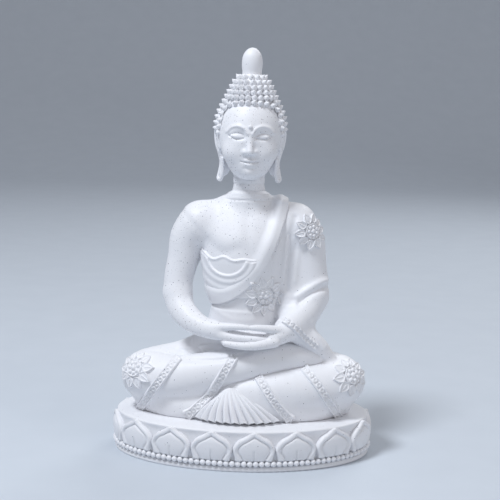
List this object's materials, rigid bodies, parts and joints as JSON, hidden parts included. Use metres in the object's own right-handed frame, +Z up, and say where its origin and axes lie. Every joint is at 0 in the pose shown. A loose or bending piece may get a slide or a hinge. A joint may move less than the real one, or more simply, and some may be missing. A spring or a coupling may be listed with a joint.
{
  "type": "seated meditating figure",
  "caption": "Small cast stone figure seated cross-legged in meditation, robed over one shoulder, hands in the lap, on an oval lotus base that rests flat.",
  "frame": {"origin": "centre of the base's underside", "axes": "+Z up through the figure, the figure faces -Y, its own right side is at -X"},
  "size_m": [0.08, 0.05, 0.122],
  "materials": {
    "pedestal": "matte",
    "robe": "matte",
    "skin": "matte",
    "ornament": "matte",
    "hair": "matte"
  },
  "bodies": {
    "root": {"pedestal_core": "pedestal", "pedestal_foot": "pedestal", "bead_border": "pedestal", "petal_01": "pedestal", "petal_02": "pedestal", "petal_03": "pedestal", "petal_04": "pedestal", "petal_05": "pedestal", "petal_06": "pedestal", "petal_07": "pedestal", "petal_08": "pedestal", "petal_09": "pedestal", "petal_10": "pedestal", "petal_11": "pedestal", "petal_12": "pedestal", "petal_13": "pedestal", "petal_14": "pedestal", "petal_15": "pedestal", "petal_16": "pedestal", "hips": "robe", "right_leg": "robe", "left_leg": "robe", "skirt_fan": "robe", "band_right_knee": "ornament", "band_right_shin": "ornament", "band_left_shin": "ornament", "band_left_knee": "ornament", "flower_right_knee": "ornament", "flower_left_knee": "ornament", "torso": "skin", "robe_wrap": "robe", "sash": "robe", "sash_underfold": "robe", "right_upper_arm": "skin", "right_forearm": "skin", "left_sleeve_upper": "robe", "left_sleeve_lower": "robe", "cuff_band": "ornament", "right_hand": "skin", "left_hand": "skin", "flower_chest": "ornament", "flower_shoulder": "ornament", "neck": "skin", "head": "skin", "right_ear": "skin", "left_ear": "skin", "urna": "skin", "hair_cap": "hair", "hair_curls": "hair", "ushnisha": "hair", "ushnisha_curls": "hair", "finial": "ornament"}
  },
  "joints": []
}
